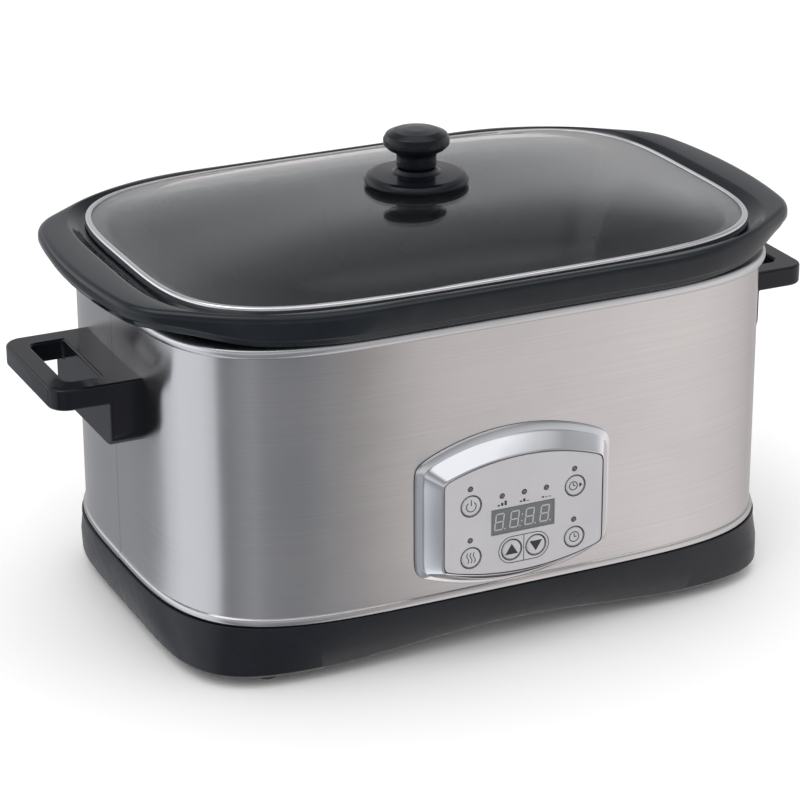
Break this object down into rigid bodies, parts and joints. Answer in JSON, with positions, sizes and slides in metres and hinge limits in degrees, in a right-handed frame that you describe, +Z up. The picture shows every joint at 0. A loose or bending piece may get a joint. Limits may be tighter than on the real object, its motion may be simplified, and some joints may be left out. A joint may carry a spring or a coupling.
{
  "type": "slow cooker",
  "caption": "Rectangular slow cooker: brushed steel housing with loop handles and a digital key panel, lift-out glazed crock, glass lid with steel edge and knob.",
  "frame": {"origin": "on the surface the feet stand on, under the middle of the cooker", "axes": "+X along the length from handle to handle, +Y from the control panel to the back, +Z up"},
  "size_m": [0.474, 0.2816, 0.268],
  "materials": {
    "black_glaze": "dark slate satin glaze on the rim, glossy on the walls",
    "brushed_steel": "horizontal brushed grain",
    "bright_steel": "bright rolled edge",
    "chrome_trim": "polished",
    "black_gloss_plastic": "gloss moulded black",
    "black_matte_plastic": "fine matte, blue-black",
    "silver_plastic": "satin silver film",
    "clear_glass": "clear tempered",
    "display_window": "dark grey-blue window",
    "lamp_plastic": "unlit indicator lens",
    "aluminised_sheet": "dull metal sheet",
    "zinc_steel": "zinc plated",
    "mica_belt": "mica and fibreglass belt",
    "glass_wool": "needled glass fibre",
    "circuit_board": "green solder mask",
    "component_black": "moulded case",
    "soft_rubber": "soft black",
    "white_ceramic": "unglazed white",
    "cable_grey": "flat flexible lead"
  },
  "bodies": {
    "housing": {"base_moulding": "black_matte_plastic", "bottom_cover": "black_matte_plastic", "cable_gland": "soft_rubber", "control_board": "circuit_board", "cover_screw_1": "zinc_steel", "cover_screw_2": "zinc_steel", "cover_screw_3": "zinc_steel", "cover_screw_4": "zinc_steel", "display_lens": "display_window", "display_module": "component_black", "faceplate": "silver_plastic", "foot_front_left": "soft_rubber", "foot_front_right": "soft_rubber", "foot_rear_left": "soft_rubber", "foot_rear_right": "soft_rubber", "fuse_clip": "zinc_steel", "handle_left": "black_gloss_plastic", "handle_right": "black_gloss_plastic", "handle_screw_left_front": "zinc_steel", "handle_screw_left_rear": "zinc_steel", "handle_screw_right_front": "zinc_steel", "handle_screw_right_rear": "zinc_steel", "heater_belt": "mica_belt", "insulation_blanket": "glass_wool", "lamp_delay": "lamp_plastic", "lamp_heat": "lamp_plastic", "lamp_left": "lamp_plastic", "lamp_middle": "lamp_plastic", "lamp_right": "lamp_plastic", "lamp_start": "lamp_plastic", "lamp_time": "lamp_plastic", "liner": "aluminised_sheet", "panel_bezel": "chrome_trim", "panel_frame": "black_matte_plastic", "power_board": "circuit_board", "relay": "component_black", "ribbon_cable": "cable_grey", "sensor_clip": "zinc_steel", "temperature_sensor": "aluminised_sheet", "terminal_block": "white_ceramic", "thermal_fuse": "white_ceramic", "tie_nut": "zinc_steel", "tie_rod": "zinc_steel", "transformer": "component_black", "wrap_front": "brushed_steel", "wrap_rear": "brushed_steel"},
    "crock": {"crock": "black_glaze"},
    "lid": {"lid_glass": "clear_glass", "lid_band": "bright_steel", "knob_base": "black_gloss_plastic", "knob_top": "black_gloss_plastic", "knob_washer": "soft_rubber", "knob_screw": "bright_steel"},
    "key_start": {"key_start": "silver_plastic"},
    "key_heat": {"key_heat": "silver_plastic"},
    "key_delay": {"key_delay": "silver_plastic"},
    "key_time": {"key_time": "silver_plastic"},
    "key_up": {"key_up": "silver_plastic"},
    "key_down": {"key_down": "silver_plastic"}
  },
  "joints": [
    {"name": "crock_lift", "type": "slide", "parent": "housing", "child": "crock", "axis": [0, 0, 1], "range_m": [0, 0.16]},
    {"name": "lid_lift", "type": "slide", "parent": "crock", "child": "lid", "axis": [0, 0, 1], "range_m": [0, 0.1]},
    {"name": "key_start_press", "type": "slide", "parent": "housing", "child": "key_start", "axis": [0, 1, 0], "range_m": [0, 0.0005], "stiffness_N_per_m": 1500},
    {"name": "key_heat_press", "type": "slide", "parent": "housing", "child": "key_heat", "axis": [0, 1, 0], "range_m": [0, 0.0005], "stiffness_N_per_m": 1500},
    {"name": "key_delay_press", "type": "slide", "parent": "housing", "child": "key_delay", "axis": [0, 1, 0], "range_m": [0, 0.0005], "stiffness_N_per_m": 1500},
    {"name": "key_time_press", "type": "slide", "parent": "housing", "child": "key_time", "axis": [0, 1, 0], "range_m": [0, 0.0005], "stiffness_N_per_m": 1500},
    {"name": "key_up_press", "type": "slide", "parent": "housing", "child": "key_up", "axis": [0, 1, 0], "range_m": [0, 0.0005], "stiffness_N_per_m": 1500},
    {"name": "key_down_press", "type": "slide", "parent": "housing", "child": "key_down", "axis": [0, 1, 0], "range_m": [0, 0.0005], "stiffness_N_per_m": 1500}
  ]
}
